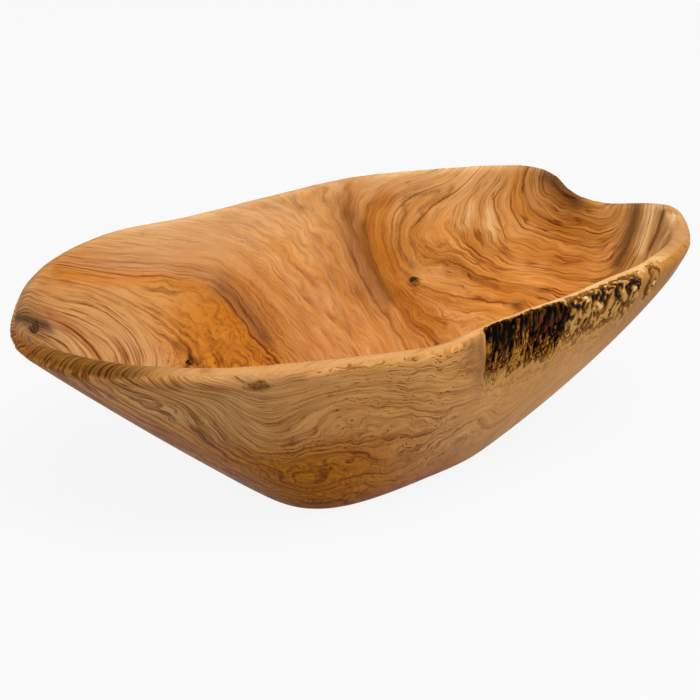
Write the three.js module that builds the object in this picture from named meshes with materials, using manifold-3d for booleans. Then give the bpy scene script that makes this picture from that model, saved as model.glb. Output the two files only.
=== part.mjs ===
// Rustic salad bowl, carved from one block of olive wood, with the bark of the trunk left on its rim.
// Millimetres, +Z up. The origin is the centre of the flat base, and +X runs along the bowl.
import * as THREE from 'three';
import { mergeVertices } from 'three/addons/utils/BufferGeometryUtils.js';
import Module from 'manifold-3d';

const wasm = await Module();
wasm.setup();

// Bowl: length and width over the rim, and the height of the rim at its lowest point
const LENGTH = 347;
const WIDTH = 197;
const RIM_HEIGHT = 88;

// Rim's outer edge, from the right end round the back: along and across are its place in plan from the
// base centre, in hundredths of the length and the width, rise is its height above the lowest rim height,
// wall is the thickness of the wall there, belly is how far the wall below swells outwards, and shoulder
// is the radius of the rim's outer rounding.
const RIM_STATIONS = [
  { along: 44.9, across: -27.4, rise: 12, wall: 10, belly: 9, shoulder: 5 },
  { along: 51.1, across: -13.2, rise: 12, wall: 10, belly: 8, shoulder: 4 },
  { along: 53.2, across: -3.6, rise: 12, wall: 10, belly: 8, shoulder: 4 },
  { along: 51.8, across: 4.6, rise: 10, wall: 8, belly: 7, shoulder: 4 },
  { along: 45.6, across: 9.6, rise: 11, wall: 7, belly: 6, shoulder: 4 },
  { along: 42.3, across: 13.7, rise: 16, wall: 7, belly: 5, shoulder: 5 },
  { along: 41.1, across: 18.3, rise: 23, wall: 7, belly: 5, shoulder: 5 },
  { along: 38.8, across: 22.8, rise: 27, wall: 7, belly: 5, shoulder: 5 },
  { along: 34.6, across: 28.9, rise: 27, wall: 7, belly: 5, shoulder: 5 },
  { along: 25.9, across: 39.1, rise: 24, wall: 7, belly: 5, shoulder: 5 },
  { along: 15.3, across: 49.2, rise: 20, wall: 7, belly: 5, shoulder: 5 },
  { along: 2.3, across: 51.8, rise: 16, wall: 7, belly: 5, shoulder: 5 },
  { along: -10.7, across: 51.8, rise: 13, wall: 7, belly: 5, shoulder: 5 },
  { along: -23.3, across: 51.8, rise: 12, wall: 7, belly: 4, shoulder: 5 },
  { along: -32.3, across: 46.2, rise: 10, wall: 7, belly: 3, shoulder: 5 },
  { along: -39.2, across: 36.0, rise: 8.5, wall: 7, belly: 3, shoulder: 5 },
  { along: -44.1, across: 23.4, rise: 6, wall: 7, belly: 2, shoulder: 5 },
  { along: -46.7, across: 13.7, rise: 3, wall: 7, belly: 2, shoulder: 5 },
  { along: -47.0, across: 4.1, rise: 2, wall: 8, belly: 2, shoulder: 6 },
  { along: -44.4, across: -9.6, rise: 2, wall: 10, belly: 2, shoulder: 6 },
  { along: -39.8, across: -22.3, rise: 3, wall: 11, belly: 2, shoulder: 6 },
  { along: -32.6, across: -33.5, rise: 4, wall: 11, belly: 3, shoulder: 6 },
  { along: -21.3, across: -42.1, rise: 5, wall: 10, belly: 5, shoulder: 5 },
  { along: -8.9, across: -46.7, rise: 5, wall: 8, belly: 8, shoulder: 4 },
  { along: -2.0, across: -47.7, rise: 5, wall: 7, belly: 9, shoulder: 3 },
  { along: 4.3, across: -45.0, rise: 6, wall: 7, belly: 9, shoulder: 3 },
  { along: 11.2, across: -43.5, rise: 8, wall: 7, belly: 8, shoulder: 3 },
  { along: 18.2, across: -43.1, rise: 9, wall: 9, belly: 8, shoulder: 3 },
  { along: 26.2, across: -40.6, rise: 10, wall: 10, belly: 8, shoulder: 3 },
  { along: 34.3, across: -37.1, rise: 11, wall: 10, belly: 8, shoulder: 4 },
];

// Wall, rounding and floor: the belly's place up the wall, and the upright stretch that it brings
// under the rim, as shares of the wall's length and of the belly
const BELLY_PLACE = 0.45;
const UPRIGHT = 1.3;
const GOUGE_SWEEP = 30;
const RIM_THINNING = 1.5;
const RIM_INNER_ROUND = 2;
const FLOOR = 13;
const FLOOR_BLEND = 26;

// Base: a flat with softly squared ends, turned a little from the bowl's length
const BASE_LENGTH = 123;
const BASE_WIDTH = 86;
const BASE_SQUARENESS = 3.5;
const BASE_TURN = 11;
const BASE_ROUND = 3;

// Bark left on the rim: plates side by side along the rim, from a bearing on, each with its place,
// its width along the rim, how far below the rim it starts and reaches, and how square its corners are
const BARK_BEARING = -80;
const BARK_THICKNESS = 3;
const BARK_EDGE = 1;
const BARK_RELIEF = 0.9;
const BARK_RIDGE = 3.2;
const BARK_RAGGED = 3;
const BARK_LEAN = 0.2;
const SEAT_OPENING = 8;
const BARK_PLATES = [
  { name: 'bark_plate_left', start: 0, width: 15, top: -1.5, reach: 26, squareness: 8 },
  { name: 'bark_plate_middle', start: 15.5, width: 9, top: -0.5, reach: 31, squareness: 8 },
  { name: 'bark_plate_right', start: 25, width: 21, top: -1, reach: 29, squareness: 8 },
  { name: 'bark_crust', start: 46.5, width: 49, top: -0.5, reach: 22, squareness: 5 },
  { name: 'bark_fleck', start: 103, width: 8, top: 1, reach: 17, squareness: 2 },
];

// Dead knots and bark pockets in the wood: side of the wall, place, size along and across it, depth
const KNOT_TAPER = 0.7;
const KNOTS = [
  { name: 'pin_knot', side: 'inner', bearing: 41, below: 60, wide: 7, high: 5, depth: 5 },
  { name: 'rim_knot', side: 'inner', bearing: 166, below: 7, wide: 16, high: 9, depth: 5 },
  { name: 'bark_pocket', side: 'inner', bearing: 135, below: 80, wide: 4, high: 3, depth: 4 },
  { name: 'wall_knot', side: 'outer', bearing: -140, below: 6, wide: 13, high: 6, depth: 4 },
];

// Gap between each seated piece and the wood round it
const CLEARANCE = 0.3;

// Facets
const COLUMNS = 120;
const WALL_ROWS = 10;
const ROUND_STEPS = 4;
const BARK_STEP = 0.8;
const BARK_ROWS = 4;
const KNOT_SIDES = 20;
const SWEEP_STEPS = 3;
const SLOPE_STEP = 0.001;

const UP = new THREE.Vector3(0, 0, 1);
const WOOD = { color: '#c98d4d', roughness: 0.45, metalness: 0 };
const BARK = { color: '#22160d', roughness: 0.9, metalness: 0 };
const KNOT = { color: '#4a2a12', roughness: 0.6, metalness: 0 };

const rimCurve = new THREE.CatmullRomCurve3(
  RIM_STATIONS.map(({ along, across, rise }) => new THREE.Vector3(
    (along / 100) * LENGTH,
    (across / 100) * WIDTH,
    RIM_HEIGHT + rise,
  )),
  true,
  'centripetal',
);
rimCurve.arcLengthDivisions = 800;
const rimLength = rimCurve.getLength();

const wrap = (share) => share - Math.floor(share);
const bearingOf = (point) => THREE.MathUtils.radToDeg(Math.atan2(point.y, point.x));

// Share of the way round the rim at which it bears in a direction, in degrees, from the base centre
function rimShare(bearing) {
  const startBearing = bearingOf(rimCurve.points[0]);
  const turnFromStart = (degrees) => THREE.MathUtils.euclideanModulo(degrees - startBearing, 360);
  const wanted = turnFromStart(bearing);
  let low = 0;
  let high = 1;
  for (let step = 0; step < 40; step++) {
    const middle = (low + high) / 2;
    if (turnFromStart(bearingOf(rimCurve.getPointAt(middle))) < wanted) low = middle;
    else high = middle;
  }
  return (low + high) / 2;
}

// Wall, belly and shoulder at a share of the way round, eased from each station to the next
const profileCurve = new THREE.CatmullRomCurve3(
  RIM_STATIONS.map(({ wall, belly, shoulder }) => new THREE.Vector3(wall, belly, shoulder)),
  true,
  'catmullrom',
);
function profileAt(share) {
  const { x: wall, y: belly, z: shoulder } = profileCurve.getPoint(rimCurve.getUtoTmapping(wrap(share)));
  return { wall, belly, shoulder };
}

// Point of the base outline that lies in the same direction as a point of the rim
function basePoint(rim) {
  const turn = THREE.MathUtils.degToRad(BASE_TURN);
  const angle = Math.atan2(rim.y, rim.x) - turn;
  const along = Math.abs(Math.cos(angle) / (BASE_LENGTH / 2)) ** BASE_SQUARENESS;
  const across = Math.abs(Math.sin(angle) / (BASE_WIDTH / 2)) ** BASE_SQUARENESS;
  const reach = (along + across) ** (-1 / BASE_SQUARENESS);
  return new THREE.Vector3(Math.cos(angle + turn), Math.sin(angle + turn), 0).multiplyScalar(reach);
}

// Rim eased over the sweep of the carving gouge, which the wall below it follows
function easedRim(share) {
  const point = new THREE.Vector3();
  let total = 0;
  for (let step = -SWEEP_STEPS; step <= SWEEP_STEPS; step++) {
    const weight = SWEEP_STEPS + 1 - Math.abs(step);
    const away = ((step / SWEEP_STEPS) * GOUGE_SWEEP) / rimLength;
    point.addScaledVector(rimCurve.getPointAt(wrap(share + away)), weight);
    total += weight;
  }
  return point.divideScalar(total);
}

// Line up the outer wall, from the base outline to the start of the rim's rounding
function wallCurve(share) {
  const { belly, shoulder } = profileAt(share);
  const top = rimCurve.getPointAt(wrap(share)).addScaledVector(UP, -shoulder);
  const eased = easedRim(share);
  const foot = basePoint(eased);
  const upper = eased.addScaledVector(UP, -shoulder - UPRIGHT * belly);
  const slope = upper.clone().sub(foot);
  const out = new THREE.Vector3(slope.x, slope.y, 0).normalize();
  const square = out.multiplyScalar(slope.z).addScaledVector(UP, -Math.hypot(slope.x, slope.y)).normalize();
  const lower = foot.clone().addScaledVector(slope, BELLY_PLACE).addScaledVector(square, belly);
  const curve = new THREE.CubicBezierCurve3(foot, lower, upper, top);
  curve.arcLengthDivisions = 60;
  return curve;
}

// Point of the outer wall: level 0 at the base outline, 1 where the rim's rounding starts,
// and the share of the wall's length between them
function outerPoint(share, level) {
  return wallCurve(share).getPointAt(level);
}

// Direction square to the outer wall, out of the wood
function outerNormal(share, level) {
  const from = Math.min(Math.max(level, SLOPE_STEP), 1 - SLOPE_STEP);
  const along = outerPoint(share + SLOPE_STEP, from).sub(outerPoint(share - SLOPE_STEP, from));
  const up = outerPoint(share, from + SLOPE_STEP).sub(outerPoint(share, from - SLOPE_STEP));
  return along.cross(up).normalize();
}

// Larger of two heights, with the corner between them blended
function blendedMax(height, least, blend) {
  const share = Math.max(0, blend - Math.abs(height - least)) / blend;
  return Math.max(height, least) + (share * share * blend) / 4;
}

// Point of the hollow, one wall away from the outer wall, and never lower than the floor.
// The wall is measured square to the outside low down, and sideways at the rim, where it is thinner.
function innerPoint(share, level) {
  const square = outerNormal(share, level);
  const sideways = square.clone().setZ(0).normalize();
  const out = square.lerp(sideways, level ** RIM_THINNING);
  const point = outerPoint(share, level).addScaledVector(out, -profileAt(share).wall);
  point.z = blendedMax(point.z, FLOOR, FLOOR_BLEND);
  return point;
}

// Point on the outside at a distance below the top of the rim, measured down the wall
function outsideBelow(share, below) {
  const { shoulder } = profileAt(share);
  const run = Math.max(0, below - shoulder);
  const level = 1 - run / wallCurve(share).getLength();
  const point = outerPoint(share, level);
  point.z += Math.max(0, shoulder - below);
  return { point, level };
}

// Faces of a closed band of rings, each ring running round and the rings running on to each other
function bandFaces(rings) {
  const count = rings[0].length;
  const at = (ring, index) => ring * count + (index % count);
  const faces = [];
  for (let ring = 0; ring + 1 < rings.length; ring++) {
    for (let index = 0; index < count; index++) {
      faces.push(at(ring, index), at(ring, index + 1), at(ring + 1, index + 1));
      faces.push(at(ring, index), at(ring + 1, index + 1), at(ring + 1, index));
    }
  }
  return faces;
}

function geometryOf(points, faces) {
  const geometry = new THREE.BufferGeometry().setFromPoints(points);
  geometry.setIndex(faces);
  geometry.computeVertexNormals();
  return geometry;
}

// Body of rings whose first and last ring are each closed by a centre point
function centredBody(rings, firstCentre, lastCentre) {
  const count = rings[0].length;
  const points = [...rings.flat(), firstCentre, lastCentre];
  const faces = bandFaces(rings);
  const lastRing = (rings.length - 1) * count;
  for (let index = 0; index < count; index++) {
    const next = (index + 1) % count;
    faces.push(points.length - 2, next, index);
    faces.push(points.length - 1, lastRing + index, lastRing + next);
  }
  return geometryOf(points, faces);
}

// Body of rings that each run down one face and back up the other, closed between the two at its ends
function slabBody(rings) {
  const count = rings[0].length;
  const faces = bandFaces(rings);
  const lastRing = (rings.length - 1) * count;
  for (let down = 0; down < count / 2 - 1; down++) {
    const up = count - 1 - down;
    faces.push(down, up, up - 1);
    faces.push(down, up - 1, down + 1);
    faces.push(lastRing + down, lastRing + up - 1, lastRing + up);
    faces.push(lastRing + down, lastRing + down + 1, lastRing + up - 1);
  }
  return geometryOf(rings.flat(), faces);
}

function toSolid(geometry) {
  const bare = geometry.clone();
  bare.deleteAttribute('normal');
  bare.deleteAttribute('uv');
  const merged = mergeVertices(bare, 1e-4);
  return new wasm.Manifold(new wasm.Mesh({
    numProp: 3,
    vertProperties: new Float32Array(merged.attributes.position.array),
    triVerts: new Uint32Array(merged.index.array),
  }));
}

function toGeometry(solid) {
  const mesh = solid.getMesh();
  const geometry = new THREE.BufferGeometry();
  geometry.setAttribute('position', new THREE.BufferAttribute(new Float32Array(mesh.vertProperties), 3));
  geometry.setIndex(new THREE.BufferAttribute(new Uint32Array(mesh.triVerts), 1));
  geometry.computeVertexNormals();
  return geometry;
}

// Point on the rounding of the rim: radius and inset of its centre from the outer edge, turn from outside
function rimRound(share, radius, inset, turn) {
  const point = outerPoint(share, 1);
  point.z += profileAt(share).shoulder - radius * (1 - Math.sin(turn));
  return point.addScaledVector(outerNormal(share, 1).setZ(0).normalize(), radius * Math.cos(turn) - inset);
}

// Rounded corner between the flat base and the wall: part 0 on the base, 1 on the wall
function baseRound(share, part) {
  const curve = wallCurve(share);
  const foot = curve.getPoint(0);
  const flat = foot.clone().setLength(foot.length() - BASE_ROUND);
  const wall = curve.getPointAt(BASE_ROUND / curve.getLength());
  return new THREE.QuadraticBezierCurve3(flat, foot, wall).getPoint(part);
}

// The carved block: up the outside from the base, over the rim and down the hollow to the floor
function carvedBlock() {
  const rings = [];
  const addRing = (pointAt) => {
    rings.push(Array.from({ length: COLUMNS }, (_, column) => pointAt(column / COLUMNS)));
  };
  for (let step = 0; step < ROUND_STEPS; step++) addRing((share) => baseRound(share, step / ROUND_STEPS));
  for (let row = 0; row <= WALL_ROWS; row++) {
    addRing((share) => {
      const curve = wallCurve(share);
      return curve.getPointAt(THREE.MathUtils.lerp(BASE_ROUND / curve.getLength(), 1, row / WALL_ROWS));
    });
  }
  const quarter = Math.PI / 2;
  for (let step = 1; step <= ROUND_STEPS; step++) {
    const turn = (step / ROUND_STEPS) * quarter;
    addRing((share) => {
      const { shoulder } = profileAt(share);
      return rimRound(share, shoulder, shoulder, turn);
    });
  }
  for (let step = 0; step <= ROUND_STEPS; step++) {
    const turn = quarter + (step / ROUND_STEPS) * quarter;
    addRing((share) => {
      const { wall, shoulder } = profileAt(share);
      const radius = Math.min(RIM_INNER_ROUND, wall - shoulder);
      return rimRound(share, radius, wall - radius, turn);
    });
  }
  for (let row = WALL_ROWS - 1; row >= 0; row--) addRing((share) => innerPoint(share, row / WALL_ROWS));
  const floorCentre = new THREE.Vector3(0, 0, FLOOR);
  return centredBody(rings, new THREE.Vector3(0, 0, 0), floorCentre);
}

// Slab of bark on the outside of the wall: ridged down its face, ragged at its foot, thin at its edge
function barkPlate({ start, width, top, reach, squareness }) {
  const rings = [];
  const steps = Math.ceil(width / BARK_STEP);
  for (let step = 0; step < steps; step++) {
    const part = (step + 0.5) / steps;
    const along = start + part * width;
    const ridge = Math.abs(Math.sin((Math.PI * along) / BARK_RIDGE));
    const rounded = (1 - Math.abs(2 * part - 1) ** squareness) ** (1 / squareness);
    const middle = (top + reach) / 2;
    const half = ((reach - top) / 2) * rounded;
    const foot = middle + half - BARK_RAGGED * (1 - ridge);
    rings.push(barkRing(along, middle - half + BARK_RELIEF, foot, reach, 0, BARK_RELIEF * (ridge - 0.5)));
  }
  return slabBody(rings);
}

// Seat of a plate in the wood: its smooth outline and depth with the clearance added, open outwards
function barkSeat({ start, width, top, reach }) {
  const rings = [];
  const steps = Math.ceil(width / BARK_STEP);
  const opening = top > 0 ? top - CLEARANCE : -SEAT_OPENING;
  for (let step = 0; step <= steps; step++) {
    const along = start - CLEARANCE + (step / steps) * (width + 2 * CLEARANCE);
    rings.push(barkRing(along, opening, reach + CLEARANCE, reach, CLEARANCE, SEAT_OPENING));
  }
  return slabBody(rings);
}

// One section of a plate or its seat, square to the rim: down the outer face and back up the inner one
function barkRing(along, top, foot, reach, spare, proud) {
  const outer = [];
  const inner = [];
  for (let row = 0; row <= BARK_ROWS; row++) {
    const below = THREE.MathUtils.lerp(top, foot, row / BARK_ROWS);
    const share = wrap(rimShare(BARK_BEARING) + (along + BARK_LEAN * below) / rimLength);
    const { point, level } = outsideBelow(share, below);
    const normal = outerNormal(share, level);
    const down = THREE.MathUtils.clamp(below / reach, 0, 1);
    const depth = THREE.MathUtils.lerp(BARK_THICKNESS, BARK_EDGE, down);
    outer.push(point.clone().addScaledVector(normal, proud));
    inner.unshift(point.clone().addScaledVector(normal, -depth - spare));
  }
  return [...outer, ...inner];
}

// Knot: an oval tapered plug let into the wood, square to the surface
function knotPlug({ side, bearing, below, wide, high, depth }, spare) {
  const share = rimShare(bearing);
  const { point, level } = outsideBelow(share, below);
  const normal = outerNormal(share, level);
  if (side === 'inner') {
    const along = innerPoint(share + SLOPE_STEP, level).sub(innerPoint(share - SLOPE_STEP, level));
    const up = innerPoint(share, level + SLOPE_STEP).sub(innerPoint(share, level - SLOPE_STEP));
    normal.crossVectors(up, along).normalize();
    point.copy(innerPoint(share, level));
  }
  const profile = [
    new THREE.Vector2(0, -depth - spare),
    new THREE.Vector2(KNOT_TAPER, -depth - spare),
    new THREE.Vector2(1, 0),
    new THREE.Vector2(1, depth),
    new THREE.Vector2(0, depth),
  ];
  const plug = new THREE.LatheGeometry(profile, KNOT_SIDES);
  plug.scale(wide / 2 + spare, 1, high / 2 + spare);
  const across = new THREE.Vector3().crossVectors(UP, normal).normalize();
  const down = new THREE.Vector3().crossVectors(across, normal);
  return plug.applyMatrix4(new THREE.Matrix4().makeBasis(across, normal, down).setPosition(point));
}

function addPiece(name, geometry, finish) {
  const piece = new THREE.Mesh(geometry, new THREE.MeshStandardMaterial(finish));
  piece.name = name;
  bowl.add(piece);
}

const bowl = new THREE.Group();
const block = toSolid(carvedBlock());
let body = block;
for (const plate of BARK_PLATES) {
  body = body.subtract(toSolid(barkSeat(plate)));
  addPiece(plate.name, barkPlate(plate), BARK);
}
for (const knot of KNOTS) {
  body = body.subtract(toSolid(knotPlug(knot, CLEARANCE)));
  addPiece(knot.name, toGeometry(toSolid(knotPlug(knot, 0)).intersect(block)), KNOT);
}
addPiece('bowl_body', toGeometry(body), WOOD);

export default bowl;
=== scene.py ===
# Looks of a salad bowl carved from one block of olive wood, with bark left along its rim.
import math

import bpy
import numpy as np
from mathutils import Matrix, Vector, noise
from mathutils.bvhtree import BVHTree
from mathutils.kdtree import KDTree


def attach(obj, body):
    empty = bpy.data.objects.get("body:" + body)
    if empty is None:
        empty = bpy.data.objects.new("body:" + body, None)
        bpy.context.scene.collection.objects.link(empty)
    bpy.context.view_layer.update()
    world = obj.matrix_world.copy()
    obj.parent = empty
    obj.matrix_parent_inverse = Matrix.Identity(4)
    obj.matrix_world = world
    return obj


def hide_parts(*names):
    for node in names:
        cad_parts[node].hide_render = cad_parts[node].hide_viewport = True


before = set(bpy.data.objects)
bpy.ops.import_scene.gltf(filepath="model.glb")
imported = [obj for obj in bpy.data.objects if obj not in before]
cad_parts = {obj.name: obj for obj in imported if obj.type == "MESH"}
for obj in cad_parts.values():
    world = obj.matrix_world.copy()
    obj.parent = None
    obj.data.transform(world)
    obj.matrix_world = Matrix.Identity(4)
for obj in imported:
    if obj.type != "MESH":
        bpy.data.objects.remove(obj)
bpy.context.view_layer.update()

MM = 0.001

# Camera: the photograph's viewing angle, and its frame in pixels
PHOTO_SIZE = 700
CAMERA_AZIMUTH = math.radians(-30)
CAMERA_ELEVATION = math.radians(23)
CAMERA_DISTANCE = 0.95
CAMERA_TARGET = Vector((0.007, 0.017, 0.048))
CAMERA_LENS = 100
CAMERA_SENSOR = 36

# Floor, world and lamps: size, power in watts and place of each lamp
FLOOR_SIZE = 12
FLOOR_GREY = (0.5, 0.5, 0.5, 1)
WHITE = (1, 1, 1, 1)
WHITE_SHARE = 0.9
WORLD_STRENGTH = 0.5
LAMP_TARGET = (0, 0, 0.05)
LAMPS = {
    "key": (1.2, 26, (0.1, -0.7, 1.7)),
    "fill": (1.5, 6, (1.2, -1.1, 0.6)),
}

# Bowl: half its length and width in millimetres, and how its mesh is worked smooth
BOWL_HALF_LENGTH = 170
BOWL_HALF_WIDTH = 100
BOWL_VOXEL = 1.6 * MM
MERGE_DISTANCE = 0.01 * MM
WALL_SMOOTHING = 32
RIM_SMOOTHING = 0.1
RIM_DEPTH = 9
RIM_DEPTH_BLEND = 4
RIM_SECTORS = 240
PLUG_SCALE = 1.2

# Bark plates: each run of fibres has a strength, and spots per millimetre across and along it
BARK_VOXEL = 0.45 * MM
BARK_ROUGHNESS = 0.9
BARK_FIBRES = ((0.8, 0.55, 0.07), (0.4, 1.5, 0.2), (0.4, 0.35, 0.3))
BARK_COLUMN = 2

# Ragged top edge of the bark plates: height in millimetres, spots per millimetre, and share of the plate
RAG_HEIGHT = 1.2
RAG_SCALE = 0.8
RAG_SLICE = 7.0
RAG_SHARE = 0.3

# Share of a plate's height at which its bark turns golden
BLACK_BARK_GOLD = 0.9
BROWN_BARK_GOLD = 0.5

# Bark crust: flakes that bend at the top, and draw out and calm down towards the foot
CRUST_HEIGHT = 18
CRUST_DRAW = 0.42
CRUST_CALM = 0.6
CRUST_BEND = 3.5
CRUST_BEND_SCALE = 0.2
CRUST_BEND_STARTS = (Vector((3, 17, 9)), Vector((21, 5, 13)), Vector((11, 8, 27)))
CRUST_FLAKES = ((1.0, 0.34), (0.5, 0.8))
CRUST_STEP = 0.3
FLECK_ROUGHNESS = 0.3

# Knots: dark tone, light tone, tone of the wood round it, and where that starts
KNOT_VOXEL = 0.4 * MM
KNOT_RISE = 0.35
KNOT_NODES = {
    "pin_knot": ((22, 13, 8), (84, 54, 28), (186, 116, 44), 0.84),
    "rim_knot": ((44, 30, 20), (100, 68, 46), (92, 60, 38), 0.9),
    "bark_pocket": ((14, 9, 6), (52, 32, 16), (110, 66, 28), 0.95),
    "wall_knot": ((112, 70, 30), (148, 98, 50), (168, 122, 68), 0.62),
}

# Stain round the bark, which reaches less far along the rim than down from it
BARK_NODES = ("bark_plate_left", "bark_plate_middle", "bark_plate_right", "bark_crust", "bark_fleck")
BAST_STRETCH = np.array((4, 1, 1))
BAST_LEAN = 5
FAR_FROM_BARK = 99

# Rings of the trunk, in millimetres: a point on the pith, and the direction that the trunk grew in
PITH_POINT = np.array((0.0, 60.0, 170.0))
TRUNK_DIRECTION = np.array((0.98, 0.12, -0.15))

# Drawn lines of the figure: reach in millimetres, slack, and steps between points in pixels
FIGURE_REACH = 70
FIGURE_SLACK = 0.01
FIGURE_STEP = 12
STROKE_STEP = 4
OUTSIDE_LEVEL = 500
PLACES_AT_A_TIME = 8000

# Lines inside the bowl, in the photograph's frame: level across the grain, darkness, half width, points
INSIDE_LINES = {
    "left rim, inside": (-57, 0.2, 0.6, ((22, 324), (45, 334), (62, 344), (80, 357))),
    "left sweep, lowest": (-46, 0.6, 0.9, ((50, 316), (69, 328), (81, 336), (89, 347), (98, 357))),
    "left sweep, low": (-36, 0.5, 0.6, (
        (32, 303), (54, 309), (75, 316), (92, 325), (106, 334), (116, 342), (128, 362))),
    "left sweep, middle": (-25, 0.45, 0.6, (
        (25, 292), (47, 297), (72, 300), (92, 306), (110, 316), (125, 328), (134, 339), (142, 364))),
    "left sweep, high": (-13, 0.55, 0.6, (
        (36, 276), (57, 278), (81, 282), (104, 289), (122, 297), (142, 306), (170, 326), (186, 342),
        (192, 358))),
    "amber hump": (-6, 0, 0, (
        (100, 281), (135, 290), (165, 304), (190, 324), (203, 316), (215, 330), (222, 350), (232, 362))),
    "left seam": (0, 0.9, 0.5, (
        (45, 266), (80, 269), (113, 274), (136, 275), (160, 270), (180, 277), (201, 281), (214, 285),
        (224, 298), (239, 314), (249, 328), (261, 345), (273, 357), (283, 363))),
    "back flow, first": (8, 0.3, 0.8, (
        (62, 256), (120, 262), (180, 268), (215, 275), (235, 291), (255, 316), (275, 341), (296, 361))),
    "back flow, second": (20, 0, 0, (
        (100, 245), (160, 250), (210, 258), (240, 275), (270, 306), (300, 341), (316, 359))),
    "back flow, third": (34, 0, 0, (
        (150, 232), (200, 236), (235, 246), (265, 271), (300, 311), (340, 356))),
    "back flow, fourth": (50, 0, 0, (
        (200, 221), (240, 226), (270, 241), (300, 276), (330, 316), (362, 353))),
    "back flow, fifth": (67, 0, 0, ((262, 203), (290, 216), (315, 246), (345, 291), (385, 349))),
    "back flow, sixth": (84, 0.25, 1.5, ((312, 191), (332, 211), (346, 241), (366, 286), (408, 346))),
    "dark bend": (100, 0.25, 0.7, (
        (388, 187), (369, 204), (363, 220), (364, 231), (369, 248), (374, 263), (381, 280), (390, 292),
        (400, 306), (411, 322), (421, 340))),
    "swirl, outer": (107, 0.2, 0.5, (
        (446, 176), (420, 181), (392, 194), (378, 210), (375, 226), (377, 244), (383, 264), (394, 283),
        (411, 300), (434, 312), (455, 325), (468, 334))),
    "swirl, second": (119, 0.5, 0.6, (
        (452, 180), (426, 188), (404, 200), (394, 218), (390, 238), (395, 256), (404, 270), (422, 288),
        (443, 294), (465, 299), (487, 302), (509, 303))),
    "swirl, wavy": (135, 0.7, 0.7, (
        (470, 180), (446, 199), (430, 206), (424, 216), (412, 228), (411, 240), (417, 250), (430, 263),
        (446, 258), (462, 260), (474, 267), (487, 276), (509, 281), (531, 284), (549, 291))),
    "fan, first": (150, 0.4, 0.5, (
        (487, 177), (472, 190), (467, 202), (462, 220), (465, 242), (472, 254), (487, 265), (516, 271),
        (546, 273), (580, 278))),
    "fan, second": (160, 0.35, 0.5, (
        (499, 178), (482, 197), (481, 219), (483, 234), (494, 248), (513, 260), (543, 268), (570, 271),
        (600, 272))),
    "fan, third": (170, 0.4, 0.5, (
        (506, 179), (494, 198), (496, 219), (505, 231), (525, 243), (546, 254), (569, 258), (600, 261),
        (616, 256))),
    "fan, fourth": (180, 0.7, 0.7, (
        (514, 179), (514, 197), (509, 216), (516, 228), (536, 234), (552, 240), (570, 243), (600, 246),
        (618, 238), (630, 218))),
    "fan, fifth": (190, 0.65, 0.6, (
        (524, 176), (525, 192), (531, 204), (543, 216), (558, 223), (580, 229), (604, 232), (622, 224),
        (631, 206))),
    "fan, last": (202, 0.65, 0.8, (
        (534, 179), (543, 194), (555, 203), (570, 210), (590, 216), (610, 216), (624, 206))),
    "right stripe, brown": (150, 0, 0, ((641, 206), (637, 232), (628, 252), (620, 268))),
    "right stripe, cream": (132, 0, 0, ((653, 208), (648, 232), (642, 250), (634, 264))),
    "right stripe, last": (116, 0, 0, ((668, 214), (660, 232), (652, 247), (646, 256))),
}

# Lines on the outside
OUTSIDE_LINES = {
    "left edge": (2, 0.3, 1.0, ((54, 369), (92, 396), (142, 426), (200, 456))),
    "left dark streak": (14, 0.3, 0.7, ((110, 379), (142, 401), (179, 417), (216, 448), (231, 458))),
    "left fan": (24, 0.4, 0.7, ((151, 383), (179, 396), (206, 414), (223, 432), (240, 449))),
    "hanging curve, low": (30, 0.3, 0.6, (
        (200, 403), (219, 422), (238, 441), (262, 455), (288, 456), (312, 450), (332, 446), (372, 444))),
    "hanging curve, middle": (39, 0.3, 0.6, (
        (209, 396), (225, 416), (248, 434), (270, 443), (294, 441), (309, 431), (322, 416), (341, 408),
        (362, 405), (410, 408))),
    "hanging curve, high": (50, 0.4, 0.6, (
        (230, 398), (252, 412), (276, 414), (300, 408), (325, 396), (347, 391), (374, 391), (420, 394))),
    "under the rim": (61, 0, 0, (
        (170, 384), (215, 388), (260, 399), (300, 395), (350, 380), (420, 372), (470, 368))),
    "along the rim": (71, 0, 0, ((300, 380), (350, 372), (400, 364), (440, 356), (468, 348))),
    "front wave, high": (52, 0, 0, ((430, 394), (455, 386), (480, 384), (505, 382))),
    "front wave, low": (37, 0, 0, ((410, 408), (440, 418), (452, 410), (470, 402), (506, 398))),
    "right streak, low": (20, 0, 0, ((404, 466), (439, 441), (474, 418), (520, 400), (560, 372))),
    "right streak, high": (34, 0, 0, ((500, 412), (540, 385), (580, 352), (620, 318), (656, 284))),
    "burl edge": (19, 0.5, 0.9, (
        (234, 459), (259, 463), (288, 464), (312, 457), (347, 456), (358, 464), (366, 478))),
    "burl heart": (29, 0.3, 0.6, ((298, 479), (312, 476), (326, 478))),
    "burl foot": (6, 0.4, 0.7, ((250, 480), (280, 492), (310, 500), (345, 492))),
}

# Wood tones, as they look on the finished bowl
TONES = {
    "amber": (196, 118, 6),
    "honey": (216, 152, 66),
    "fawn": (198, 149, 97),
    "beige": (226, 183, 132),
    "peach": (227, 166, 95),
    "rose": (214, 151, 86),
    "mauve": (190, 134, 86),
    "orange": (218, 139, 48),
    "brown": (164, 100, 34),
    "umber": (92, 54, 22),
    "soot": (50, 33, 22),
    "cream": (234, 188, 126),
    "straw": (207, 152, 88),
    # Dusk: brown of the dark bands low on the left outside, and painted shade on the lower front wall
    "dusk and painted shade": (186, 113, 24),
    "burl": (194, 122, 10),
    "gilt": (150, 100, 32),
    "russet": (160, 86, 34),
    "bruise": (134, 84, 50),
    "tan": (208, 156, 96),
    "bisque": (193, 140, 84),
    "ochre": (182, 124, 52),
    "pale": (246, 206, 150),
    "crest": (208, 154, 95),
}
TONE_REACH = 15
USUAL_WEIGHT = 0.02

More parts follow.
